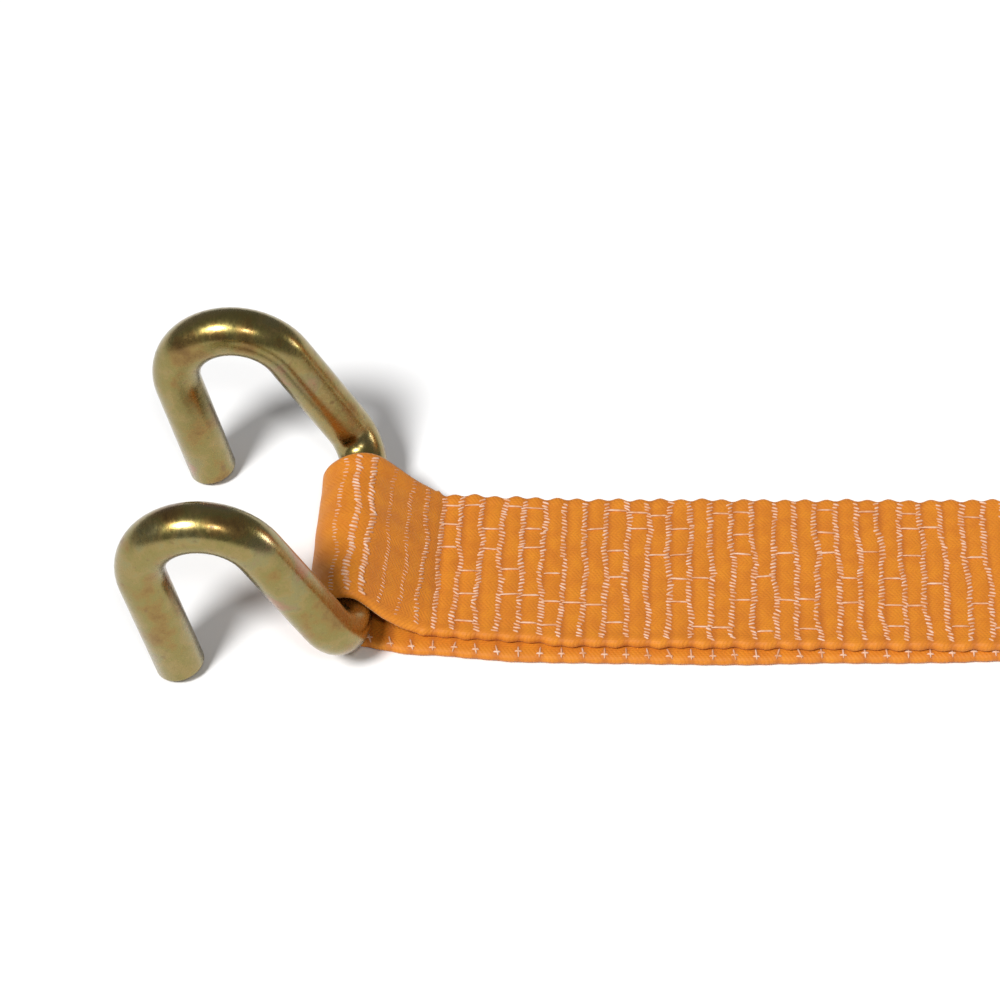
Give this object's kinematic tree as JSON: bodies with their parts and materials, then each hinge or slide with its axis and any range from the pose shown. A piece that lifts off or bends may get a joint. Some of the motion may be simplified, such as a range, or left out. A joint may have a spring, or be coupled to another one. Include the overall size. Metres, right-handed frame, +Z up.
{
  "type": "ratchet tie down",
  "caption": "Webbing tie-down: short strap with a double J hook and a ratchet buckle, and a rolled long strap with its own hook.",
  "frame": {"origin": "centre of the set's bounding box on the floor", "axes": "+X along the fixed strap from its hook towards the ratchet buckle, +Y towards the long strap beside it, +Z up"},
  "size_m": [0.5994, 0.1996, 0.17],
  "materials": {
    "yellow_zinc": "yellow zinc plated round rod, satin, faint iridescence",
    "webbing": "woven orange polyester webbing",
    "thread": "pale polyester sewing thread",
    "frame_steel": "yellow zinc plated pressed plate",
    "wheel_steel": "dark hardened steel",
    "bright_zinc": "bright zinc plated steel",
    "grip_plastic": "moulded black grip"
  },
  "bodies": {
    "fixed_strap": {"fixed_strap": "webbing", "hook_seam": "thread", "anchor_seam": "thread"},
    "front_hook": {"hook_front": "yellow_zinc"},
    "ratchet_frame": {"frame": "frame_steel", "anchor_bolt": "bright_zinc", "anchor_nut": "bright_zinc", "anchor_washer_near": "bright_zinc", "anchor_washer_far": "bright_zinc", "anchor_sleeve": "bright_zinc", "lock_spring_near": "bright_zinc", "lock_spring_far": "bright_zinc"},
    "spool": {"spool_half_upper": "bright_zinc", "spool_half_lower": "bright_zinc", "ratchet_wheel_near": "wheel_steel", "ratchet_wheel_far": "wheel_steel", "spool_washer_near": "bright_zinc", "spool_washer_far": "bright_zinc", "split_pin_near": "bright_zinc", "split_pin_far": "bright_zinc"},
    "handle": {"handle_arm_near": "frame_steel", "handle_arm_far": "frame_steel", "grip_tube": "grip_plastic", "grip_rod": "bright_zinc", "spring_seat": "bright_zinc", "drive_spring_near": "bright_zinc", "drive_spring_far": "bright_zinc"},
    "drive_pawl": {"drive_pawl": "bright_zinc"},
    "lock_pawl": {"lock_pawl": "bright_zinc"},
    "long_strap": {"long_strap": "webbing", "rear_seam": "thread"},
    "rear_hook": {"hook_rear": "yellow_zinc"}
  },
  "joints": [
    {"name": "front_hook_pivot", "type": "hinge", "parent": "fixed_strap", "child": "front_hook", "pos_m": [-0.2475, -0.0545, 0.0088], "axis": [0, 1, 0], "range_deg": [-135, 105]},
    {"name": "buckle_pivot", "type": "hinge", "parent": "fixed_strap", "child": "ratchet_frame", "pos_m": [0.0825, -0.0545, 0.012], "axis": [0, 1, 0], "range_deg": [-90, 45]},
    {"name": "spool_turn", "type": "hinge", "parent": "ratchet_frame", "child": "spool", "pos_m": [0.1345, -0.0545, 0.03], "axis": [0, -1, 0], "continuous": true},
    {"name": "handle_swing", "type": "hinge", "parent": "ratchet_frame", "child": "handle", "pos_m": [0.1345, -0.0545, 0.03], "axis": [0, -1, 0], "range_deg": [0, 180]},
    {"name": "drive_pawl_slide", "type": "slide", "parent": "handle", "child": "drive_pawl", "axis": [1, 0, 0], "range_m": [0, 0.007], "stiffness_N_per_m": 900, "springref_m": -0.004, "deforming": ["drive_spring_near", "drive_spring_far"]},
    {"name": "lock_pawl_slide", "type": "slide", "parent": "ratchet_frame", "child": "lock_pawl", "axis": [0.866, 0, -0.5], "range_m": [0, 0.006], "stiffness_N_per_m": 900, "springref_m": -0.004, "deforming": ["lock_spring_near", "lock_spring_far"]},
    {"name": "long_strap_set_aside", "type": "slide", "parent": "fixed_strap", "child": "long_strap", "axis": [0, 1, 0], "range_m": [0, 0.3]},
    {"name": "rear_hook_pivot", "type": "hinge", "parent": "long_strap", "child": "rear_hook", "pos_m": [0.2475, 0.0605, 0.0088], "axis": [0, -1, 0], "range_deg": [-135, 105]}
  ]
}
